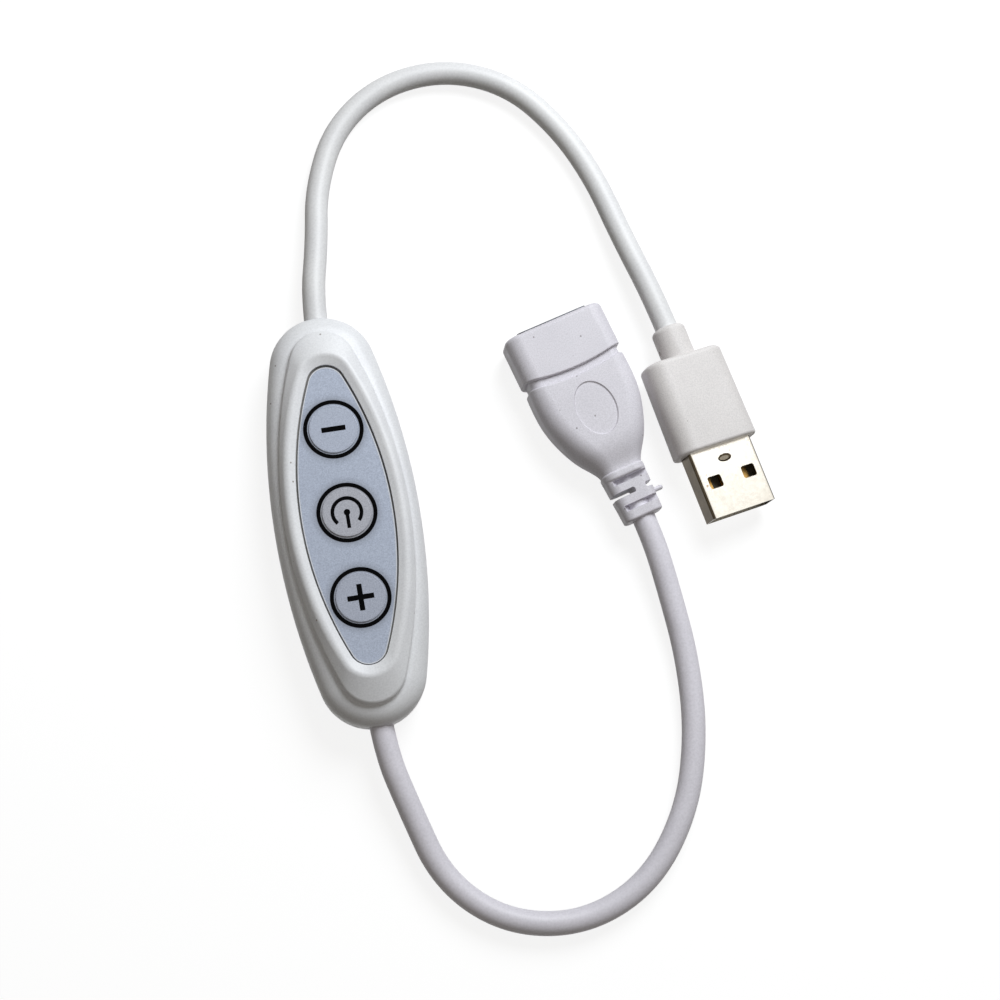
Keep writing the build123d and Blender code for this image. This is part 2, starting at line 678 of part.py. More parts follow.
def socket_rear_body():
    """Flared grip that swells from the neck to the groove."""
    neck_end = NECK_START + NECK_LENGTH
    root = across(neck_end - NECK_FILLET)
    sections = [root * RectangleRounded(FLARE_WIDTH, FLARE_HEIGHT, FLARE_ROUNDING * FLARE_HEIGHT)]
    for along, swell, rise, rounding in GRIP_STATIONS:
        y = neck_end + along * (GROOVE_START - neck_end)
        width = FLARE_WIDTH + swell * (SOCKET_WIDTH - FLARE_WIDTH)
        height = FLARE_HEIGHT + rise * (GRIP_HEIGHT - FLARE_HEIGHT)
        sections.append(across(y) * RectangleRounded(width, height, rounding * height))
    grip = loft(sections) - groove_cylinder(GROOVE_START)
    return fillet(grip.faces().sort_by(Axis.Y)[-1].edges(), GROOVE_FILLET)


def groove_cylinder(nearest):
    """Upright cylinder whose near side gives the groove its curve towards the lead."""
    circle = Pos(0, nearest + GROOVE_ARC_RADIUS) * Circle(GROOVE_ARC_RADIUS)
    return prism(circle, -SOCKET_HEIGHT, SOCKET_HEIGHT)


def relief_slot(start, end):
    """Slot from above with a ramp at its closed end, open at the nub's side."""
    top = RELIEF_HEIGHT / 2
    outline = Polyline((RELIEF_SLOT_REACH, top), (RELIEF_SLOT_REACH - RELIEF_SLOT_RAMP, RELIEF_SLOT_FLOOR),
                       (-RELIEF_WIDTH, RELIEF_SLOT_FLOOR), (-RELIEF_WIDTH, top), close=True)
    return extrude(across(start) * make_face(outline), end - start)


def side_slot(inner, outer):
    """Slot through the relief from one side, with a rounded inner end."""
    start, end = RELIEF_SIDE_SLOT
    outline = RectangleRounded(abs(outer - inner), end - start, RELIEF_SLOT_CORNER)
    return prism(Pos((inner + outer) / 2, (start + end) / 2) * outline, -RELIEF_HEIGHT, RELIEF_HEIGHT)


def socket_relief():
    """Segmented strain relief: slots from above and below alternate with slots from the sides."""
    body = loft(
        [
            across(0) * RectangleRounded(RELIEF_END_WIDTH, RELIEF_HEIGHT, RELIEF_CORNER),
            across(NECK_START + NECK_FILLET) * RectangleRounded(RELIEF_WIDTH, RELIEF_HEIGHT, RELIEF_CORNER),
        ],
        ruled=True,
    )
    body = fillet(body.faces().sort_by(Axis.Y)[0].edges(), RELIEF_END_FILLET)
    end_slot = relief_slot(*RELIEF_END_SLOT)
    neck_slot = relief_slot(*RELIEF_NECK_SLOT) - rod(RELIEF_CORE_RADIUS, *RELIEF_NECK_SLOT)
    for slot in (end_slot, neck_slot):
        body -= slot
        body -= mirror(slot, about=Plane.XY)
    left, right = RELIEF_SPINE
    return body - side_slot(left, -RELIEF_WIDTH) - side_slot(right, RELIEF_WIDTH)


def relief_nub():
    """Short round nub with a domed tip on the side of the relief's middle ring."""
    radius = NUB_DIAMETER / 2
    centre = Pos(0, RELIEF_SIDE_SLOT[0] - NUB_SETBACK, 0)
    stem_length = NUB_REACH - radius - RELIEF_SPINE[1]
    stem = Pos(RELIEF_SPINE[1] + stem_length / 2, 0, 0) * Rot(0, 90, 0) * Cylinder(radius, stem_length)
    return centre * (stem + Pos(NUB_REACH - radius, 0, 0) * Sphere(radius))


def thumb_mark():
    """Shallow oval recess with a sloping edge, for the top of the grip."""
    top = GRIP_HEIGHT / 2
    half_width = THUMB_WIDTH / 2
    half_length = THUMB_LENGTH / 2
    low = Ellipse(half_width - THUMB_SLOPE, half_length - THUMB_SLOPE)
    high = Ellipse(half_width + THUMB_SLOPE, half_length + THUMB_SLOPE)
    return Pos(0, THUMB_Y) * loft([Pos(0, 0, top - THUMB_DEPTH) * low, Pos(0, 0, top + THUMB_DEPTH) * high])


def socket_overmould():
    neck = bar(NECK_WIDTH, NECK_HEIGHT, NECK_CORNER, NECK_START, NECK_START + NECK_LENGTH)
    neck = fillet(neck.faces().sort_by(Axis.Y)[0].edges(), NECK_FILLET)
    neck = fillet(neck.faces().sort_by(Axis.Y)[-1].edges(), NECK_FILLET)
    core_width = SOCKET_WIDTH - 2 * GROOVE_DEPTH
    core_height = SOCKET_HEIGHT - 2 * GROOVE_DEPTH
    core_edge = SOCKET_EDGE_RADIUS - GROOVE_DEPTH
    groove_end = GROOVE_START + GROOVE_WIDTH
    core = bar(core_width, core_height, core_edge, GROOVE_START - GROOVE_WIDTH, groove_end + 2 * GROOVE_WIDTH)
    front = bar(SOCKET_WIDTH, SOCKET_HEIGHT, SOCKET_EDGE_RADIUS, GROOVE_START, SOCKET_LENGTH)
    front = fillet(front.faces().sort_by(Axis.Y)[-1].edges(), SOCKET_FRONT_FILLET)
    front &= groove_cylinder(groove_end)
    front = fillet(front.faces().sort_by(Axis.Y)[0].edges(), GROOVE_FILLET)
    body = socket_relief() + neck + socket_rear_body() + core + front
    body += relief_nub()
    body -= thumb_mark()
    shell_start = SOCKET_LENGTH + SOCKET_SHELL_PROUD - SOCKET_SHELL_LENGTH
    body -= bar(SOCKET_SHELL_WIDTH, SOCKET_SHELL_HEIGHT, SHELL_CORNER, shell_start, SOCKET_LENGTH)
    return body - rod(CABLE_DIAMETER / 2, 0, SOCKET_CABLE_SEAT)


def socket_shell():
    end = SOCKET_LENGTH + SOCKET_SHELL_PROUD
    return hollow_shell(SOCKET_SHELL_WIDTH, SOCKET_SHELL_HEIGHT, end - SOCKET_SHELL_LENGTH, end)


def socket_insulator():
    """Rear block that fills the shell, with a tongue that carries the contacts below it."""
    end = SOCKET_LENGTH + SOCKET_SHELL_PROUD
    start = end - SOCKET_SHELL_LENGTH
    width = SOCKET_SHELL_WIDTH - 2 * SHELL_SHEET
    height = SOCKET_SHELL_HEIGHT - 2 * SHELL_SHEET
    body = bar(width, height, SHELL_CORNER - SHELL_SHEET, start, start + SOCKET_BLOCK_LENGTH)
    front = end - SOCKET_TONGUE_SETBACK
    length = front - start
    body += block((SOCKET_TONGUE_WIDTH, length, SOCKET_TONGUE), (0, start + length / 2, SOCKET_TONGUE_LIFT))
    for x, setback in CONTACT_PLACES.values():
        body -= socket_contact_strip(x, setback, CONTACT_CLEARANCE)
    return body


def socket_contact_strip(x, setback, clearance=0.0):
    """Contact strip in the underside of the tongue, or the groove that it lies in."""
    end = SOCKET_LENGTH + SOCKET_SHELL_PROUD
    start = end - SOCKET_SHELL_LENGTH
    front = end - SOCKET_TONGUE_SETBACK - setback + clearance
    size = (CONTACT_WIDTH + 2 * clearance, front - start, CONTACT_THICKNESS)
    return block(size, (x, (front + start) / 2, SOCKET_TONGUE_LIFT))


def lead_points(lead_side, route, frame, cable_end, run):
    """Points of a lead from its jacket's end in the housing to its seat in a connector."""
    start = (0, lead_side * JACKET_END, PARTING_HEIGHT)
    clear = (0, lead_side * (HOUSING_LENGTH / 2 + EXIT_RUN), PARTING_HEIGHT)
    approach = frame * Pos(0, cable_end - run, 0)
    seat = frame * Pos(0, cable_end, 0)
    return [start, clear, *route, tuple(approach.position), tuple(seat.position)]


def save(name, shape):
    export_step(shape, os.path.join("parts", name + ".step"))


# Housing
save("top_cover", top_cover())
save("bottom_cover", bottom_cover())
save("overlay_film", overlay_film())
save("circuit_board", circuit_board())
for key_name, key_y in KEY_CENTRES.items():
    save(key_name + "_key", key(key_y))
    save(key_name + "_switch_base", switch_base(key_y))
    save(key_name + "_switch_cover", switch_cover(key_y))
    save(key_name + "_switch_plunger", switch_plunger(key_y))
    save(key_name + "_switch_dome", switch_dome(key_y))
    save(key_name + "_switch_terminals", switch_terminals(key_y))

# Parts on the board
save("controller_chip", controller_chip())
save("controller_leads", controller_leads())
save("power_transistor", power_transistor())
save("transistor_leads", transistor_leads())
save("bypass_capacitor", bypass_capacitor())
save("chip_resistors", chip_resistors())

# Plug
plug = plug_frame()
save("plug_overmould", plug * plug_overmould())
save("plug_shell", plug * plug_shell())
save("plug_insulator", plug * plug_insulator())
for contact, (contact_x, contact_setback) in CONTACT_PLACES.items():
    save("plug_" + contact + "_contact", plug * plug_contact_strip(contact_x, contact_setback))

# Socket
socket = socket_frame()
save("socket_overmould", socket * socket_overmould())
save("socket_shell", socket * socket_shell())
save("socket_insulator", socket * socket_insulator())
for contact, (contact_x, contact_setback) in CONTACT_PLACES.items():
    save("socket_" + contact + "_contact", socket * socket_contact_strip(contact_x, contact_setback))

# Leads and their cores
plug_cable_end = -PLUG_BODY_LENGTH - PLUG_COLLAR_LENGTH + PLUG_CABLE_SEAT
input_points = lead_points(1, INPUT_ROUTE, plug, plug_cable_end, PLUG_RUN)
output_points = lead_points(-1, OUTPUT_ROUTE, socket, SOCKET_CABLE_SEAT, SOCKET_RUN)
save("input_cable", cable(input_points, "input_cable"))
save("output_cable", cable(output_points, "output_cable"))
for lead, lead_side in (("input", 1), ("output", -1)):
    for pole, x_side in (("positive", 1), ("negative", -1)):
        save(lead + "_" + pole + "_wire", wire(lead_side, x_side))
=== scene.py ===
"""Looks of a USB inline dimmer switch: finishes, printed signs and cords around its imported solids."""
import math

import bmesh
import bpy
from mathutils import Matrix, Vector

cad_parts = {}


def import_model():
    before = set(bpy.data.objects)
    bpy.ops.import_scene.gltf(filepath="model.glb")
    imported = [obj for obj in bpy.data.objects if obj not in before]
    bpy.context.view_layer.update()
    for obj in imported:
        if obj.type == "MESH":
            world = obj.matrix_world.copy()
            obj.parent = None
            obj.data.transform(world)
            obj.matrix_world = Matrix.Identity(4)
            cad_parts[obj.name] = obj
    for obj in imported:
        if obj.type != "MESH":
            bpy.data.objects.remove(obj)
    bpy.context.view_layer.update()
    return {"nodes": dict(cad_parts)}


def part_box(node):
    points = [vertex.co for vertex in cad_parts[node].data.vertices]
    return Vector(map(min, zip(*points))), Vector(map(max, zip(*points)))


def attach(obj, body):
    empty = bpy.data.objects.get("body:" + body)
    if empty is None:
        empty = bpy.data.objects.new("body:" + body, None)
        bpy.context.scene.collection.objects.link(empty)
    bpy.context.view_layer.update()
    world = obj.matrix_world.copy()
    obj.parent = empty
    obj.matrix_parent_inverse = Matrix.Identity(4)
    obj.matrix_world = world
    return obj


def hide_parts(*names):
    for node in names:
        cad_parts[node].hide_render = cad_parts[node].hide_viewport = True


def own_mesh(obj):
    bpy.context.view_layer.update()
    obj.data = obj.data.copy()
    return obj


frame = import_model()
nodes = frame["nodes"]

MM = 0.001
KEYS = ("minus", "power", "plus")
CONTACTS = ("supply", "data_minus", "data_plus", "ground")
WHITE = (1.0, 1.0, 1.0, 1.0)
BLACK = (0.0, 0.0, 0.0, 1.0)

# Camera fitted to the photograph
CAMERA_PLACE = (-0.0078, -0.0550, 0.2858)
CAMERA_TURN_DEG = (11.9, -4.84, -10.09)
LENS_MM = 61.2
SENSOR_MM = 36.0
CLIP_START = 0.01

# Place of the plug
PLUG_PLACE_MM = (64.5, 2.5, 4.53)
PLUG_HEADING_DEG = -79.5
PLUG_ROLL_DEG = -8.1
PLUG_FRAME = (
    Matrix.Translation(Vector(PLUG_PLACE_MM) * MM)
    @ Matrix.Rotation(math.radians(PLUG_HEADING_DEG - 90), 4, "Z")
    @ Matrix.Rotation(math.radians(PLUG_ROLL_DEG), 4, "Y")
)
PLUG_FRAME_INVERSE = PLUG_FRAME.inverted()

# Bands of grey noise that a colour or a roughness spreads over
WIDE_BAND = (0.3, 0.7)
SAND_BAND = (0.36, 0.64)
NARROW_BAND = (0.35, 0.65)

# Moulded surfaces: clouds in the colour, grain, and how much the grain's hollows darken plastic and vinyl
CLOUD_MM = 9.0
CLOUD_DETAIL = 4.0
GRAIN_DETAIL = 3.0
GRAIN_ROUGH = 0.6
GRAIN_GLOSS = 0.08
PLASTIC_SHADE = 0.1
VINYL_SHADE = 0.17

# Share of a speck's size that is solid, before its edge fades
SPECK_CORE = 0.4


# Shader helpers
def srgb(red, green, blue):
    """Linear colour of an sRGB colour given in steps of 255."""
    def linear(step):
        share = step / 255
        return share / 12.92 if share <= 0.04045 else ((share + 0.055) / 1.055) ** 2.4
    return (linear(red), linear(green), linear(blue), 1.0)


def new_material(name, roughness, metallic=0.0, specular=0.5):
    material = bpy.data.materials.new(name)
    material.use_nodes = True
    shader = material.node_tree.nodes["Principled BSDF"]
    shader.inputs["Roughness"].default_value = roughness
    shader.inputs["Metallic"].default_value = metallic
    shader.inputs["Specular IOR Level"].default_value = specular
    return material, material.node_tree, shader


def object_coordinates(tree):
    return tree.nodes.new("ShaderNodeTexCoord").outputs["Object"]


def noise(tree, feature_mm, detail=2.0, rough=0.5):
    """Grey noise whose blobs are about so many millimetres across."""
    node = tree.nodes.new("ShaderNodeTexNoise")
    node.inputs["Scale"].default_value = 1 / (feature_mm * MM)
    node.inputs["Detail"].default_value = detail
    node.inputs["Roughness"].default_value = rough
    tree.links.new(object_coordinates(tree), node.inputs["Vector"])
    return node.outputs["Fac"]


def ramp(tree, value, stops):
    """Colour ramp over a value, from (place, colour) stops."""
    node = tree.nodes.new("ShaderNodeValToRGB")
    elements = node.color_ramp.elements
    while len(elements) < len(stops):
        elements.new(0.5)
    for element, (place, colour) in zip(elements, stops):
        element.position = place
        element.color = colour
    tree.links.new(value, node.inputs["Fac"])
    return node.outputs["Color"]


def shades(tree, value, dark, light, band):
    """Colour that goes from dark to light over a band of a value."""
    return ramp(tree, value, list(zip(band, (dark, light))))


def remap(tree, value, band, result):
    """Value stretched from one band onto another; each is a pair of ends."""
    node = tree.nodes.new("ShaderNodeMapRange")
    node.inputs["From Min"].default_value = band[0]
    node.inputs["From Max"].default_value = band[1]
    node.inputs["To Min"].default_value = result[0]
    node.inputs["To Max"].default_value = result[1]
    tree.links.new(value, node.inputs["Value"])
    return node.outputs["Result"]


def combine(tree, operation, first, second):
    """Result of a math node; the second value is a socket or a number."""
    node = tree.nodes.new("ShaderNodeMath")
    node.operation = operation
    tree.links.new(first, node.inputs[0])
    if isinstance(second, float):
        node.inputs[1].default_value = second
    else:
        tree.links.new(second, node.inputs[1])
    return node.outputs[0]


def mix(tree, factor, first, second):
    """Colour mix; each colour is a socket or a plain colour."""
    node = tree.nodes.new("ShaderNodeMix")
    node.data_type = "RGBA"
    tree.links.new(factor, node.inputs["Factor"])
    for name, colour in (("A", first), ("B", second)):
        socket = next(s for s in node.inputs if s.name == name and s.type == "RGBA")
        if isinstance(colour, tuple):
            socket.default_value = colour
        else:
            tree.links.new(colour, socket)
    return next(s for s in node.outputs if s.type == "RGBA")


def specks(tree, spacing_mm, size_mm, share):
    """Mask of sparse small dots: one in some cells of a random pattern."""
    cells = tree.nodes.new("ShaderNodeTexVoronoi")
    cells.inputs["Scale"].default_value = 1 / (spacing_mm * MM)
    tree.links.new(object_coordinates(tree), cells.inputs["Vector"])
    edge = size_mm / spacing_mm
    near = remap(tree, cells.outputs["Distance"], (SPECK_CORE * edge, edge), (1, 0))
    chosen = tree.nodes.new("ShaderNodeSeparateColor")
    tree.links.new(cells.outputs["Color"], chosen.inputs["Color"])
    picked = combine(tree, "LESS_THAN", chosen.outputs["Red"], share)
    return combine(tree, "MULTIPLY", near, picked)


def bump(tree, shader, height, depth_mm):
    node = tree.nodes.new("ShaderNodeBump")
    node.inputs["Distance"].default_value = depth_mm * MM
    node.inputs["Strength"].default_value = 1.0
    tree.links.new(height, node.inputs["Height"])
    tree.links.new(node.outputs["Normal"], shader.inputs["Normal"])


# Plastics and vinyls
def moulded(name, light, dark, roughness, grain_mm, depth_mm, shade=PLASTIC_SHADE, dirt=None):
    """Moulded plastic or vinyl: cloudy colour, fine grain and, where given, sparse dirt specks."""
    material, tree, shader = new_material(name, roughness)
    colour = shades(tree, noise(tree, CLOUD_MM, CLOUD_DETAIL), dark, light, NARROW_BAND)
    if dirt:
        mask = specks(tree, dirt["spacing_mm"], dirt["size_mm"], dirt["share"])
        colour = mix(tree, mask, colour, dirt["colour"])
    grain = noise(tree, grain_mm, GRAIN_DETAIL, GRAIN_ROUGH)
    shaded = mix(tree, remap(tree, grain, NARROW_BAND, (shade, 0)), colour, BLACK)
    tree.links.new(shaded, shader.inputs["Base Color"])
    gloss = remap(tree, grain, WIDE_BAND, (roughness - GRAIN_GLOSS, roughness + GRAIN_GLOSS))
    tree.links.new(gloss, shader.inputs["Roughness"])
    bump(tree, shader, grain, depth_mm)
    return material


def housing_plastic():
    return moulded(
        "housing_plastic", srgb(242, 243, 245), srgb(236, 237, 240),
        roughness=0.42, grain_mm=0.3, depth_mm=0.012,
        dirt=dict(spacing_mm=2.0, size_mm=0.2, share=0.2, colour=srgb(136, 128, 120)),
    )


def plug_vinyl():
    return moulded(
        "plug_vinyl", srgb(234, 230, 228), srgb(228, 224, 222),
        roughness=0.5, grain_mm=0.23, depth_mm=0.014, shade=VINYL_SHADE,
        dirt=dict(spacing_mm=2.2, size_mm=0.2, share=0.15, colour=srgb(150, 144, 138)),
    )


def socket_vinyl():
    return moulded(
        "socket_vinyl", srgb(230, 227, 234), srgb(224, 221, 228),
        roughness=0.48, grain_mm=0.23, depth_mm=0.012, shade=VINYL_SHADE,
        dirt=dict(spacing_mm=2.0, size_mm=0.2, share=0.35, colour=srgb(124, 118, 120)),
    )


def cable_vinyl(name, light, dark):
    return moulded(name, light, dark, roughness=0.45, grain_mm=0.4, depth_mm=0.012)


def inner_plastic(name, light, dark, roughness):
    return moulded(name, light, dark, roughness, grain_mm=0.3, depth_mm=0.01)


def red_insulation():
    light, dark = srgb(186, 34, 30), srgb(168, 28, 26)
    return moulded("red_insulation", light, dark, roughness=0.4, grain_mm=0.4, depth_mm=0.01)


# Film and print: the film's sand, and the share of painted shade at distances from a key's axis
SAND_MM = 0.19
SAND_DEPTH_MM = 0.02
KEY_SHADE_MM = [(3.6, 0.0), (4.0, 0.08), (4.3, 0.3), (5.05, 0.34), (5.5, 0.17), (5.9, 0.06), (6.3, 0.0)]
KEY_SHADE_COLOUR = srgb(70, 68, 66)


def key_distance(tree):
    """Distance from the axis of the nearest key, in millimetres."""
    flat = tree.nodes.new("ShaderNodeVectorMath")
    flat.operation = "MULTIPLY"
    flat.inputs[1].default_value = (1 / MM, 1 / MM, 0)
    tree.links.new(object_coordinates(tree), flat.inputs[0])
    nearest = None
    for key in KEYS:
        low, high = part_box(key + "_key")
        middle = (low + high) / 2 / MM
        apart = tree.nodes.new("ShaderNodeVectorMath")
        apart.operation = "DISTANCE"
        apart.inputs[1].default_value = (middle.x, middle.y, 0)
        tree.links.new(flat.outputs["Vector"], apart.inputs[0])
        distance = apart.outputs["Value"]
        nearest = combine(tree, "MINIMUM", nearest, distance) if nearest else distance
    return nearest


def key_shade(tree):
    """Mask of painted shade along the embossed edges of the keys."""
    start_mm, end_mm = KEY_SHADE_MM[0][0], KEY_SHADE_MM[-1][0]
    stops = [((mm - start_mm) / (end_mm - start_mm), (share, share, share, 1)) for mm, share in KEY_SHADE_MM]
    return ramp(tree, remap(tree, key_distance(tree), (start_mm, end_mm), (0, 1)), stops)


def film_print(name, light, dark):
    """Back-printed grey film with a fine sandy face and painted shade around the keys."""
    material, tree, shader = new_material(name, roughness=0.6, specular=0.3)
    sand = noise(tree, SAND_MM, detail=3.0, rough=0.7)
    clean = shades(tree, sand, dark, light, SAND_BAND)
    # Painted shade darkens the film around the keys
    tree.links.new(mix(tree, key_shade(tree), clean, KEY_SHADE_COLOUR), shader.inputs["Base Color"])
    bump(tree, shader, sand, SAND_DEPTH_MM)
    return material


def ink():
    material, tree, shader = new_material("ink", roughness=0.7, specular=0.02)
    patch = noise(tree, feature_mm=0.5, detail=3.0)
    colour = shades(tree, patch, srgb(3, 3, 4), srgb(10, 10, 11), WIDE_BAND)
    tree.links.new(colour, shader.inputs["Base Color"])
    bump(tree, shader, noise(tree, feature_mm=0.25), depth_mm=0.008)
    return material


# Metals and the circuit board
NICKEL_ROUGHNESS = (0.17, 0.23)
TRACK_MM = 6.0


def nickel(name, light, dark, stain):
    """Nickel plate with cloudy wear and small brown stains."""
    material, tree, shader = new_material(name, roughness=0.2, metallic=1.0)
    stains = specks(tree, spacing_mm=1.3, size_mm=0.3, share=0.16)
    plate = shades(tree, noise(tree, feature_mm=2.5, detail=4.0), dark, light, WIDE_BAND)
    tree.links.new(mix(tree, stains, plate, stain), shader.inputs["Base Color"])
    wear = noise(tree, feature_mm=0.5, detail=3.0)
    tree.links.new(remap(tree, wear, WIDE_BAND, NICKEL_ROUGHNESS), shader.inputs["Roughness"])
    bump(tree, shader, noise(tree, feature_mm=0.4), depth_mm=0.001)
    return material


def plain_metal(name, light, dark, roughness):
    material, tree, shader = new_material(name, roughness, metallic=1.0)
    patch = noise(tree, feature_mm=1.0, detail=3.0)
    tree.links.new(shades(tree, patch, dark, light, WIDE_BAND), shader.inputs["Base Color"])
    gloss = remap(tree, patch, WIDE_BAND, (roughness - 0.05, roughness + 0.1))
    tree.links.new(gloss, shader.inputs["Roughness"])
    return material


def board_mask():
    """Green solder mask over faint copper tracks."""
    material, tree, shader = new_material("board_mask", roughness=0.35)
    tracks = tree.nodes.new("ShaderNodeTexBrick")
    tracks.inputs["Scale"].default_value = 1 / (TRACK_MM * MM)
    tracks.inputs["Color1"].default_value = srgb(32, 98, 62)
    tracks.inputs["Color2"].default_value = srgb(28, 88, 56)
    tracks.inputs["Mortar"].default_value = srgb(44, 122, 78)
    tree.links.new(object_coordinates(tree), tracks.inputs["Vector"])
    tree.links.new(tracks.outputs["Color"], shader.inputs["Base Color"])
    return material


# Finishes of the pieces
housing_finish = housing_plastic()
# Painted shade: dark plastic for the film's seat, seen through the narrow gap around the film, standing
# in for the shade in that gap
seat_shade_finish = inner_plastic("film_seat_painted_shade", srgb(132, 129, 125), srgb(104, 102, 98), roughness=0.7)
film_finish = film_print("film", srgb(200, 209, 227), srgb(172, 181, 199))
key_finishes = {
    "minus": film_print("key_film", srgb(199, 207, 224), srgb(171, 179, 196)),
    "power": film_print("power_key_film", srgb(198, 200, 209), srgb(170, 172, 181)),
    # Painted shade: the plus key's film is darker, as the light falls off towards that end
    "plus": film_print("plus_key_shaded_film", srgb(193, 199, 214), srgb(165, 171, 186)),
}
# Painted highlight: light film colour for a band along the film's cut edge
edge_highlight_finish = film_print("film_edge_highlight", srgb(240, 241, 243), srgb(218, 220, 224))
plug_finish = plug_vinyl()
socket_finish = socket_vinyl()
input_finish = cable_vinyl("cable_vinyl", srgb(234, 234, 234), srgb(228, 228, 229))
output_finish = cable_vinyl("output_cable_vinyl", srgb(243, 240, 248), srgb(236, 233, 241))
ink_finish = ink()
nickel_finish = nickel("nickel", srgb(238, 233, 222), srgb(229, 223, 211), srgb(170, 150, 126))
# Painted shade: dark brown nickel for the shell's sides and edges, standing in for the darker
# surroundings they reflect
shell_shade_finish = nickel("nickel_painted_shade", srgb(86, 76, 60), srgb(67, 58, 44), srgb(50, 43, 34))
# Painted shade: darker nickel for the level floor of the dimple, a recess
dimple_shade_finish = nickel("nickel_dimple_painted_shade", srgb(126, 118, 104), srgb(108, 101, 89), srgb(60, 54, 46))
# Painted shade: the socket's nickel shell is coloured dark, standing in for the darker surroundings it
# reflects
socket_shade_metal = nickel("socket_nickel_painted_shade", srgb(62, 63, 66), srgb(50, 51, 54), srgb(40, 39, 38))
gold_finish = plain_metal("gold", srgb(188, 150, 88), srgb(168, 130, 70), roughness=0.3)
steel_finish = plain_metal("switch_steel", srgb(205, 204, 200), srgb(186, 185, 181), roughness=0.3)
tin_finish = plain_metal("tinned_leads", srgb(214, 214, 212), srgb(196, 196, 195), roughness=0.28)
board_finish = board_mask()
# Painted light: the dark insulator is coloured a lighter brown, standing in for light thrown by the gold
# contacts in the plug's cavity
insulator_lit_finish = inner_plastic("insulator", srgb(98, 88, 68), srgb(80, 72, 55), roughness=0.45)
black_finish = inner_plastic("black_plastic", srgb(38, 38, 39), srgb(30, 30, 31), roughness=0.5)
ceramic_finish = inner_plastic("ceramic", srgb(186, 156, 120), srgb(172, 142, 108), roughness=0.5)
red_finish = red_insulation()

# Largest angle between faces that shade as one
SHARP_DEG = 30


def give(material, *names):
    """Gives CAD nodes a finish and smooth shading that breaks at hard edges."""
    for name in names:
        mesh = nodes[name].data
        mesh.materials.clear()
        mesh.materials.append(material)
        mesh.set_sharp_from_angle(angle=math.radians(SHARP_DEG))
        mesh.polygons.foreach_set("use_smooth", [True] * len(mesh.polygons))


def give_faces(material, name, chosen):
    """Gives some faces of a CAD node a finish of their own, picked by centre and normal."""
    mesh = nodes[name].data
    mesh.materials.append(material)
    for face in mesh.polygons:
        if chosen(face.center, face.normal):
            face.material_index = len(mesh.materials) - 1


give(housing_finish, "top_cover", "bottom_cover")
give(film_finish, "overlay_film")
give(board_finish, "circuit_board")
give(black_finish, "controller_chip", "power_transistor", "chip_resistors")
give(tin_finish, "controller_leads", "transistor_leads")
give(ceramic_finish, "bypass_capacitor")
give(plug_finish, "plug_overmould")
give(socket_finish, "socket_overmould")
give(nickel_finish, "plug_shell")
give(socket_shade_metal, "socket_shell")
give(insulator_lit_finish, "plug_insulator", "socket_insulator")
for key in KEYS:
    give(key_finishes[key], key + "_key")
    give(black_finish, key + "_switch_base", key + "_switch_plunger")
    give(steel_finish, key + "_switch_cover", key + "_switch_dome")
    give(tin_finish, key + "_switch_terminals")
for connector in ("plug", "socket"):
    for contact in CONTACTS:
        give(gold_finish, connector + "_" + contact + "_contact")
for lead in ("input", "output"):
    give(red_finish, lead + "_positive_wire")
    give(black_finish, lead + "_negative_wire")


def snap_dome(key):
    node = key + "_switch_dome"
    piece = bpy.data.objects.new(key + "_snap_dome", nodes[node].data.copy())
    bpy.context.scene.collection.objects.link(piece)
    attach(piece, "dimmer")
    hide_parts(node)
    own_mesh(piece)


for key in KEYS:
    snap_dome(key)

# Faces with a finish of their own, each a painted shade: the film's seat in the gap around the film, and
# the folds and dimple of the plug's shell
SEAT_FACING = 0.9
SEAT_NEAR_MM = 0.02
SEAT_REACH_MM = 1.0
FOLD_FACING = 0.93
SHELL_TOP_MM = 2.25
DIMPLE_Y_MM = 2.35
DIMPLE_HALF_MM = (1.25, 0.7)
DIMPLE_SUNK_MM = (0.01, 1.0)
film_low, film_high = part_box("overlay_film")


def on_film_seat(centre, normal):
    level = normal.z > SEAT_FACING and abs(centre.z - film_low.z) < SEAT_NEAR_MM * MM
    return level and abs(centre.y) < film_high.y + SEAT_REACH_MM * MM


def on_shell_fold(centre, normal):
    """Folded sides and cut ends of the shell, and the edges of its windows and dimple, which get painted
    shade.
    """
    facing = PLUG_FRAME_INVERSE.to_3x3() @ normal
    return abs(facing.z) < FOLD_FACING


def in_dimple(centre, normal):
    """Level floor of the dimple pressed into the shell, which gets painted shade."""
    x, y, z = (PLUG_FRAME_INVERSE @ centre) / MM
    half_x, half_y = DIMPLE_HALF_MM
    inside = (x / half_x) ** 2 + ((y - DIMPLE_Y_MM) / half_y) ** 2 < 1
    least, most = DIMPLE_SUNK_MM
    sunk = least < SHELL_TOP_MM - z < most
    return inside and sunk and not on_shell_fold(centre, normal)


give_faces(shell_shade_finish, "plug_shell", on_shell_fold)
give_faces(dimple_shade_finish, "plug_shell", in_dimple)
# Painted shade on the seat under the gap around the film
give_faces(seat_shade_finish, "top_cover", on_film_seat)

# Printed signs, and a painted highlight along the film's cut edge
INK_MM = 0.025
FILM_TIP_MM = 3.0
EDGE_INSET_MM = 0.03
EDGE_WIDTH_MM = 0.13
EDGE_THICKNESS_MM = 0.012
RING_INNER_MM = 4.34
RING_OUTER_MM = 5.0
MINUS_MM = (4.0, 0.85)
PLUS_MM = 4.37
PLUS_STROKE_MM = 0.84
POWER_RADIUS_MM = 2.68
POWER_STROKE_MM = 0.6
POWER_GAP_DEG = 95
POWER_DOT_MM = 0.53
POWER_STEM_MM = 0.58
POWER_STEM_END_MM = 2.65
ROUND_STEPS = 96


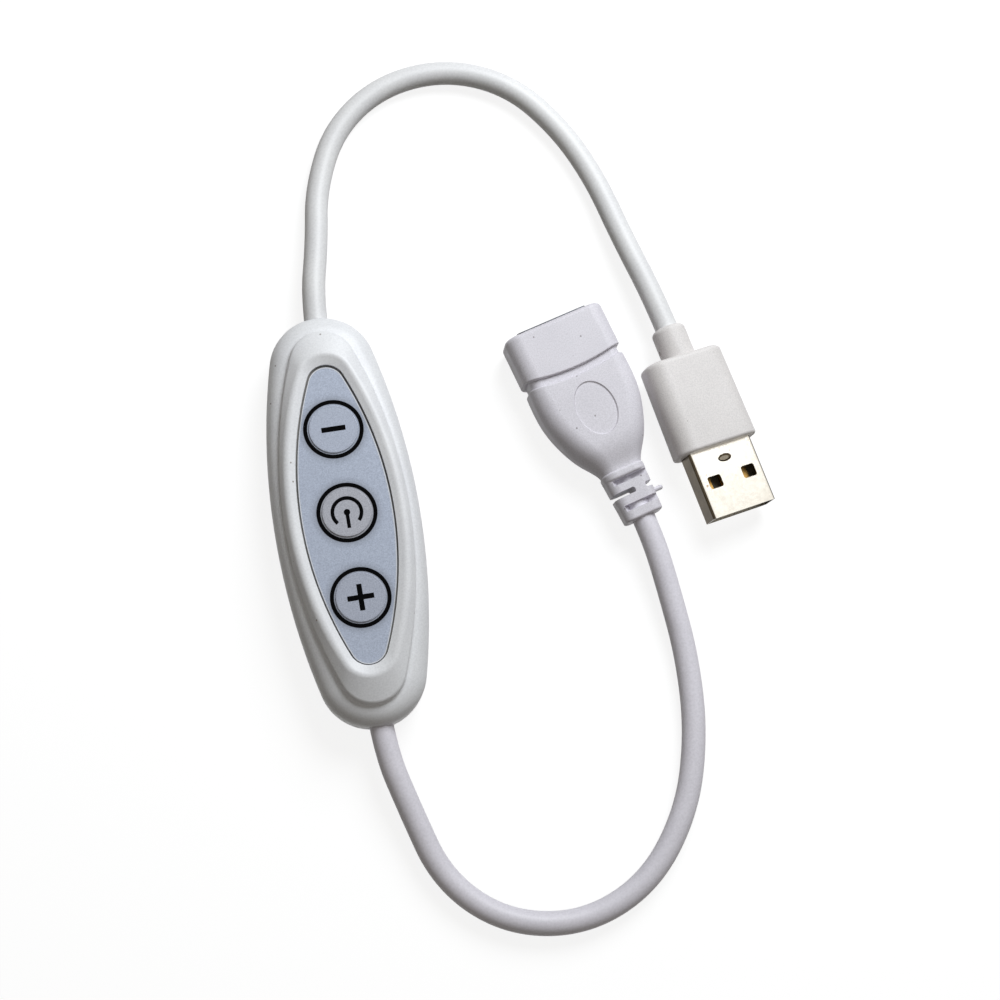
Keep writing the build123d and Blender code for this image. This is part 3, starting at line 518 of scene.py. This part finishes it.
def printed_piece(name, shape, centre, material, body):
    bmesh.ops.recalc_face_normals(shape, faces=shape.faces)
    mesh = bpy.data.meshes.new(name)
    shape.to_mesh(mesh)
    shape.free()
    mesh.materials.append(material)
    piece = bpy.data.objects.new(name, mesh)
    piece.location = centre
    bpy.context.scene.collection.objects.link(piece)
    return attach(piece, body)


def printed(name, outline, centre, material, body):
    """Thin raised print: a closed outline in millimetres about a centre point on the carrier's face."""
    shape = bmesh.new()
    corners = [shape.verts.new((x * MM, y * MM, 0)) for x, y in outline]
    face = shape.faces.new(corners)
    raised = bmesh.ops.extrude_face_region(shape, geom=[face])
    lifted = [v for v in raised["geom"] if isinstance(v, bmesh.types.BMVert)]
    bmesh.ops.translate(shape, verts=lifted, vec=(0, 0, INK_MM * MM))
    return printed_piece(name, shape, centre, material, body)


def band(name, inner, outer, closed, thickness, centre, material, body):
    """Printed strip between two rows of points, raised a little, closed to a ring or left open."""
    shape = bmesh.new()
    rows = []
    for points, height in ((inner, 0), (outer, 0), (outer, thickness), (inner, thickness)):
        rows.append([shape.verts.new((x * MM, y * MM, height * MM)) for x, y in points])
    count = len(inner)
    for i in range(count if closed else count - 1):
        j = (i + 1) % count
        for first, second in zip(rows, rows[1:] + rows[:1]):
            shape.faces.new((first[i], first[j], second[j], second[i]))
    if not closed:
        shape.faces.new([row[0] for row in rows])
        shape.faces.new([row[-1] for row in rows])
    return printed_piece(name, shape, centre, material, body)


def arc(radius, start_deg, end_deg, steps, centre=(0, 0)):
    angles = [math.radians(start_deg + (end_deg - start_deg) * i / steps) for i in range(steps + 1)]
    return [(centre[0] + radius * math.cos(a), centre[1] + radius * math.sin(a)) for a in angles]


def circle(radius):
    return arc(radius, 0, 360, ROUND_STEPS)[:-1]


def rectangle(width, height):
    x, y = width / 2, height / 2
    return [(-x, -y), (x, -y), (x, y), (-x, y)]


def cross(reach, stroke):
    """Outline of a cross, arm by arm, each arm a quarter turn from the last."""
    r, s = reach / 2, stroke / 2
    arm = [(-s, -r), (s, -r), (s, -s)]
    outline = []
    for _ in range(4):
        outline += arm
        arm = [(-y, x) for x, y in arm]
    return outline


def keyhole(dot, stem, end):
    """Round dot that runs on into a straight stem towards -Y."""
    half = stem / 2
    lean = math.degrees(math.asin(half / dot))
    return arc(dot, -90 + lean, 270 - lean, ROUND_STEPS // 2) + [(-half, -end), (half, -end)]


def oval(length, width, tip_radius):
    """Points round an oval of two tip arcs joined by two long side arcs."""
    tip_y = length / 2 - tip_radius
    side_radius = (width**2 / 4 + tip_y**2 - tip_radius**2) / (width - 2 * tip_radius)
    side_x = side_radius - width / 2
    lean = math.degrees(math.atan2(tip_y, side_x))
    steps = ROUND_STEPS // 2
    right = arc(side_radius, -lean, lean, steps, (-side_x, 0))
    top = arc(tip_radius, lean, 180 - lean, steps, (0, tip_y))
    left = arc(side_radius, 180 - lean, 180 + lean, steps, (side_x, 0))
    bottom = arc(tip_radius, 180 + lean, 360 - lean, steps, (0, -tip_y))
    return right[:-1] + top[:-1] + left[:-1] + bottom[:-1]


def film_outline(inset_mm):
    """Outline of the film, moved inwards."""
    length_mm = (film_high.y - film_low.y) / MM - 2 * inset_mm
    width_mm = (film_high.x - film_low.x) / MM - 2 * inset_mm
    return oval(length_mm, width_mm, FILM_TIP_MM - inset_mm)


def film_edge_highlight():
    """Painted highlight: a light band along the film's cut edge, standing in for the light that the edge
    catches.
    """
    middle = (film_low + film_high) / 2
    place = (middle.x, middle.y, film_high.z)
    outer = film_outline(EDGE_INSET_MM)
    inner = film_outline(EDGE_INSET_MM + EDGE_WIDTH_MM)
    band("film_edge_highlight", inner, outer, True, EDGE_THICKNESS_MM, place, edge_highlight_finish, "dimmer")


def power_sign(place, body):
    """Open arc around a dot with a stem."""
    half_gap = POWER_GAP_DEG / 2
    ends_deg = (half_gap - 90, 270 - half_gap)
    inner = arc(POWER_RADIUS_MM - POWER_STROKE_MM, *ends_deg, ROUND_STEPS)
    outer = arc(POWER_RADIUS_MM, *ends_deg, ROUND_STEPS)
    band("power_arc", inner, outer, False, INK_MM, place, ink_finish, body)
    stem = keyhole(POWER_DOT_MM, POWER_STEM_MM, POWER_STEM_END_MM)
    printed("power_stem", stem, place, ink_finish, body)


def key_print(key):
    """Ring on the film around a key, and the key's own sign, which moves with it."""
    low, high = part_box(key + "_key")
    middle = (low + high) / 2
    on_film = (middle.x, middle.y, film_high.z)
    on_key = (middle.x, middle.y, high.z)
    ring = circle(RING_INNER_MM), circle(RING_OUTER_MM)
    band(key + "_ring", *ring, True, INK_MM, on_film, ink_finish, "dimmer")
    body = key + "_key_body"
    if key == "minus":
        printed("minus_sign", rectangle(*MINUS_MM), on_key, ink_finish, body)
    elif key == "plus":
        printed("plus_sign", cross(PLUS_MM, PLUS_STROKE_MM), on_key, ink_finish, body)
    else:
        power_sign(on_key, body)


film_edge_highlight()
for key in KEYS:
    key_print(key)

# Cords: the routes' own points as control points of smooth splines
CABLE_DIAMETER = 4.0 * MM
CORD_ROUND_STEPS = 12
CORD_RUN_STEPS = 24
INPUT_ROUTE_MM = [
    (0.0, 28.5, 5.0), (0.0, 38.5, 5.0), (2.5, 49.5, 3.6), (4.0, 60.0, 2.3), (9.0, 71.0, 2.1),
    (18.5, 78.0, 2.1), (30.5, 79.5, 2.1), (41.5, 75.0, 2.1), (49.0, 65.5, 2.1), (53.5, 55.0, 2.2),
    (56.0, 43.0, 3.4), (59.4, 30.03, 4.53), (61.22, 20.2, 4.53),
]
OUTPUT_ROUTE_MM = [
    (0.0, -28.5, 5.0), (0.0, -38.5, 5.0), (2.5, -48.5, 3.6), (6.0, -61.0, 2.3), (15.0, -69.5, 2.1),
    (27.5, -72.0, 2.1), (39.5, -67.5, 2.1), (48.0, -57.0, 2.1), (52.0, -44.5, 2.1), (53.0, -32.0, 2.2),
    (52.0, -20.5, 3.2), (50.71, -10.39, 4.25), (49.01, -4.12, 4.25),
]


def cord(name, route_mm, material):
    curve = bpy.data.curves.new(name, "CURVE")
    curve.dimensions = "3D"
    curve.bevel_depth = CABLE_DIAMETER / 2
    curve.bevel_resolution = CORD_ROUND_STEPS
    curve.use_fill_caps = True
    spline = curve.splines.new("NURBS")
    spline.points.add(len(route_mm) - 1)
    for point, place in zip(spline.points, route_mm):
        point.co = (*(x * MM for x in place), 1)
    spline.order_u = 3
    spline.use_endpoint_u = True
    spline.resolution_u = CORD_RUN_STEPS
    curve.materials.append(material)
    piece = bpy.data.objects.new(name, curve)
    bpy.context.scene.collection.objects.link(piece)
    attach(piece, "dimmer")
    return piece


input_cord = cord("input_cord", INPUT_ROUTE_MM, input_finish)
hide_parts("input_cable")
output_cord = cord("output_cord", OUTPUT_ROUTE_MM, output_finish)
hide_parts("output_cable")

# Floor, world, light and camera
FLOOR_SIZE = 3.0
FLOOR_LIFT = 0.86
FLOOR_SEEN = (0.25, 0.25, 0.25, 1)
FLOOR_BOUNCE = (0.08, 0.072, 0.062, 1)
AMBIENT = (0.156, 0.144, 0.127, 1)
KEY_AIM = Vector((0.03, 0.0, 0.0))
KEY_DIRECTION = Vector((0.36, 0.56, 0.74))
KEY_DISTANCE = 0.33
KEY_SIZE = 0.21
KEY_WATTS = 1.0
KEY_TINT = (0.95, 0.985, 1.02)


def seen_rays(tree):
    """One for rays from the camera and from gloss or clear surfaces, zero for light that bounces."""
    path = tree.nodes.new("ShaderNodeLightPath")
    seen = combine(tree, "MAXIMUM", path.outputs["Is Camera Ray"], path.outputs["Is Glossy Ray"])
    return combine(tree, "MAXIMUM", seen, path.outputs["Is Transmission Ray"])


def floor():
    """Floor that looks white apart from the object's shadow, and throws back little light."""
    bpy.ops.mesh.primitive_plane_add(size=FLOOR_SIZE)
    piece = bpy.context.object
    piece.name = "floor"
    material = bpy.data.materials.new("floor")
    material.use_nodes = True
    tree = material.node_tree
    tree.nodes.clear()
    output = tree.nodes.new("ShaderNodeOutputMaterial")
    seen = tree.nodes.new("ShaderNodeBsdfDiffuse")
    seen.inputs["Color"].default_value = FLOOR_SEEN
    lift = tree.nodes.new("ShaderNodeEmission")
    lift.inputs["Strength"].default_value = FLOOR_LIFT
    lifted = tree.nodes.new("ShaderNodeAddShader")
    tree.links.new(seen.outputs[0], lifted.inputs[0])
    tree.links.new(lift.outputs[0], lifted.inputs[1])
    bounce = tree.nodes.new("ShaderNodeBsdfDiffuse")
    bounce.inputs["Color"].default_value = FLOOR_BOUNCE
    either = tree.nodes.new("ShaderNodeMixShader")
    tree.links.new(seen_rays(tree), either.inputs["Fac"])
    tree.links.new(bounce.outputs[0], either.inputs[1])
    tree.links.new(lifted.outputs[0], either.inputs[2])
    tree.links.new(either.outputs[0], output.inputs["Surface"])
    piece.data.materials.append(material)


def world():
    """White to look at, with a dim warm light of its own."""
    made = bpy.data.worlds.new("studio")
    bpy.context.scene.world = made
    made.use_nodes = True
    tree = made.node_tree
    background = tree.nodes["Background"]
    tree.links.new(mix(tree, seen_rays(tree), AMBIENT, WHITE), background.inputs["Color"])


def key_light():
    light = bpy.data.lights.new("key_light", "AREA")
    light.shape = "DISK"
    light.size = KEY_SIZE
    light.energy = KEY_WATTS
    light.color = KEY_TINT
    piece = bpy.data.objects.new("key_light", light)
    piece.location = KEY_AIM + KEY_DIRECTION.normalized() * KEY_DISTANCE
    piece.rotation_euler = (-KEY_DIRECTION).to_track_quat("-Z", "Y").to_euler()
    bpy.context.scene.collection.objects.link(piece)


def camera():
    data = bpy.data.cameras.new("camera")
    data.lens = LENS_MM
    data.sensor_width = SENSOR_MM
    data.clip_start = CLIP_START
    piece = bpy.data.objects.new("camera", data)
    piece.location = CAMERA_PLACE
    piece.rotation_euler = [math.radians(turn) for turn in CAMERA_TURN_DEG]
    bpy.context.scene.collection.objects.link(piece)
    bpy.context.scene.camera = piece


floor()
world()
key_light()
camera()
bpy.context.scene.view_settings.view_transform = "Standard"
